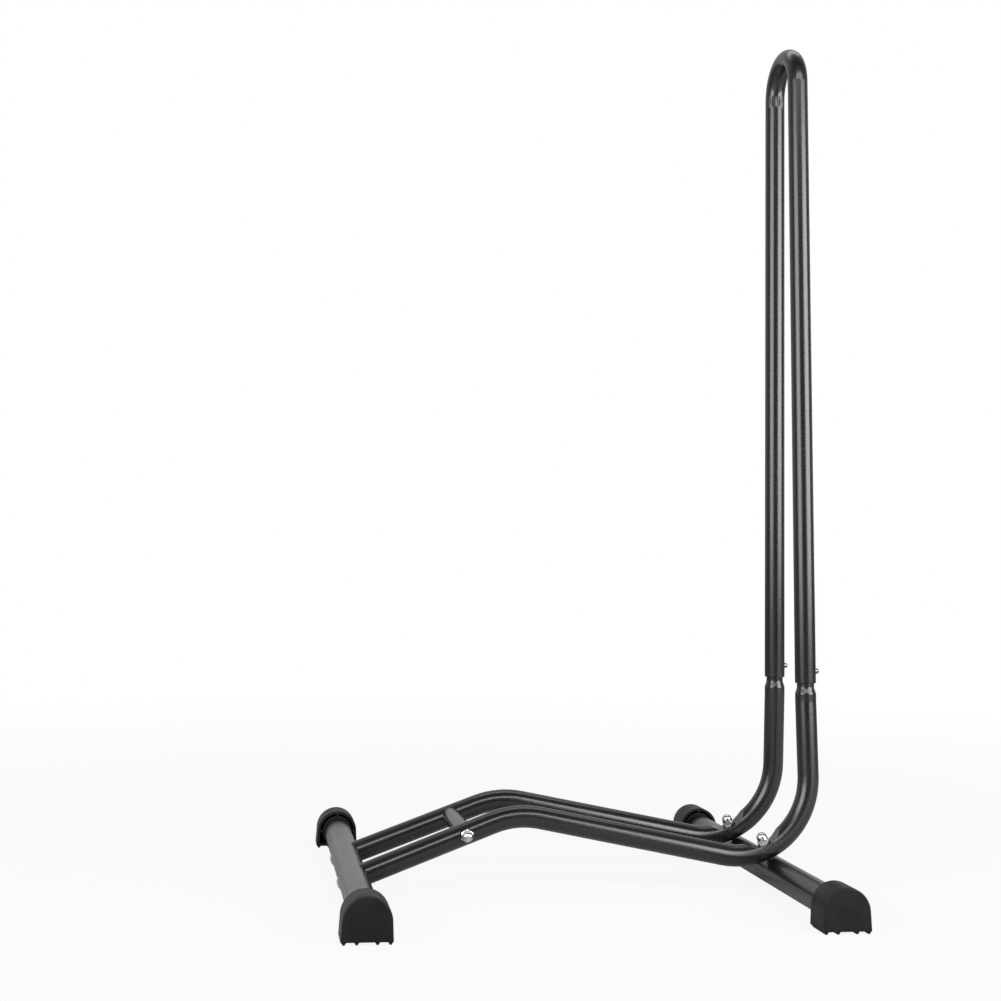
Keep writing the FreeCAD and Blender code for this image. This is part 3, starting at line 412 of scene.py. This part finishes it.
def make_floor():
    """A wide pale floor. The camera sees it nearly white beside the rack and white further out.
    Beside the rack the rest is matte grey, which keeps the rack's shadow."""
    points = [(FLOOR_REACH * math.cos(2 * math.pi * i / FLOOR_STEPS),
               FLOOR_REACH * math.sin(2 * math.pi * i / FLOOR_STEPS), 0.0)
              for i in range(FLOOR_STEPS)]
    mesh = bpy.data.meshes.new("studio_floor")
    mesh.from_pydata(points, [], [tuple(range(FLOOR_STEPS))])
    floor = bpy.data.objects.new("studio_floor", mesh)
    bpy.context.scene.collection.objects.link(floor)

    def pale(tree, where):
        cloud = tree.noise(where, 3.0, 2.0)
        matte = tree.add("ShaderNodeBsdfDiffuse",
                         Color=tree.blend(cloud, grey(0.50), grey(0.54)))
        glow = tree.add("ShaderNodeEmission", Color=grey(1.0), Strength=1.0)
        seen = tree.add("ShaderNodeLightPath").outputs["Is Camera Ray"]
        distance = tree.add("ShaderNodeVectorMath", {"operation": "LENGTH"}, **{"0": where})
        share = tree.remap(distance.outputs["Value"], GLOW_FROM, GLOW_FULL, GLOW_SHARE, 1.0,
                           "SMOOTHSTEP")
        return tree.add("ShaderNodeMixShader",
                        **{"0": tree.math("MULTIPLY", seen, share), "1": matte, "2": glow})

    mesh.materials.append(new_material("studio_floor", pale))


def make_world():
    """White to the camera. In reflections it is pale grey behind the rack and dark behind the
    camera, and as a light it is even."""
    world = bpy.data.worlds.new("studio")
    bpy.context.scene.world = world
    world.use_nodes = True
    tree = Tree(world.node_tree)
    towards = tree.add("ShaderNodeSeparateXYZ",
                       Vector=tree.add("ShaderNodeTexCoord").outputs["Generated"])
    path = tree.add("ShaderNodeLightPath")
    reflected = tree.remap(towards.outputs["Y"], -0.2, 0.6, REFLECTED_FRONT, REFLECTED_BACK)
    level = tree.add("ShaderNodeMix", {"data_type": "FLOAT"},
                     **{"0": path.outputs["Is Glossy Ray"], "2": PLAIN_LEVEL, "3": reflected})
    seen = tree.math("MAXIMUM", path.outputs["Is Camera Ray"], path.outputs["Is Transmission Ray"])
    level = tree.add("ShaderNodeMix", {"data_type": "FLOAT"}, **{"0": seen, "2": level, "3": 1.0})
    shade = tree.add("ShaderNodeBackground", Color=grey(1.0), Strength=level)
    tree.add("ShaderNodeOutputWorld", Surface=shade)


def softbox(name, azimuth, distance, height, size, radiance, aim_height):
    """A flat lamp that faces the line through the middle of the hoop, at a given height. The
    azimuth is in degrees, from the front towards +X."""
    lamp = bpy.data.lights.new(name, "AREA")
    lamp.shape = "RECTANGLE"
    lamp.size, lamp.size_y = size
    lamp.energy = radiance * math.pi * size[0] * size[1]
    item = bpy.data.objects.new(name, lamp)
    bpy.context.scene.collection.objects.link(item)
    turn = math.radians(azimuth)
    item.location = (HOOP_X + distance * math.sin(turn), -distance * math.cos(turn), height)
    aim = Vector((HOOP_X, 0.0, aim_height)) - item.location
    item.rotation_euler = aim.to_track_quat("-Z", "Y").to_euler()


def make_lamps():
    """Two tall lamps for the bands on the legs, a high one for the arms, and one behind."""
    softbox("lamp_left", azimuth=-56, distance=1.8, height=0.80, size=(1.25, 1.06),
            radiance=6.0, aim_height=0.80)
    softbox("lamp_right", azimuth=42, distance=1.8, height=0.80, size=(1.55, 1.06),
            radiance=8.2, aim_height=0.80)
    softbox("lamp_high", azimuth=1, distance=2.6, height=2.30, size=(3.7, 0.65),
            radiance=6.2, aim_height=0.1)
    softbox("lamp_top", azimuth=180, distance=0.55, height=2.0, size=(1.6, 0.4),
            radiance=2.5, aim_height=0.3)


# Solved from the photograph: the camera's place in metres, and its angles in radians.
EYE = (-0.29810, -1.40176, 0.27801)
VIEW_AZIMUTH = -0.1598
VIEW_ELEVATION = -0.1176
VIEW_ROLL = 0.0162
SENSOR_WIDTH = 36.0
LENS = 55.0135
SHIFT_Y = -0.10840


def make_camera():
    """The viewpoint of the photograph: place, heading, roll and lens."""
    back = Vector((math.sin(VIEW_AZIMUTH) * math.cos(VIEW_ELEVATION),
                   -math.cos(VIEW_AZIMUTH) * math.cos(VIEW_ELEVATION),
                   math.sin(VIEW_ELEVATION)))
    level = Vector((math.cos(VIEW_AZIMUTH), math.sin(VIEW_AZIMUTH), 0.0))
    up = back.cross(level)
    right = level * math.cos(VIEW_ROLL) + up * math.sin(VIEW_ROLL)
    up = up * math.cos(VIEW_ROLL) - level * math.sin(VIEW_ROLL)
    camera = bpy.data.objects.new("camera", bpy.data.cameras.new("camera"))
    bpy.context.scene.collection.objects.link(camera)
    turn = Matrix((right, up, back)).transposed().to_4x4()
    camera.matrix_world = Matrix.Translation(EYE) @ turn
    camera.data.sensor_width = SENSOR_WIDTH
    camera.data.lens = LENS
    camera.data.shift_y = SHIFT_Y
    camera.data.clip_start, camera.data.clip_end = 0.05, 200.0
    bpy.context.scene.camera = camera


make_floor()
make_world()
make_lamps()
make_camera()
bpy.context.scene.view_settings.view_transform = "Standard"
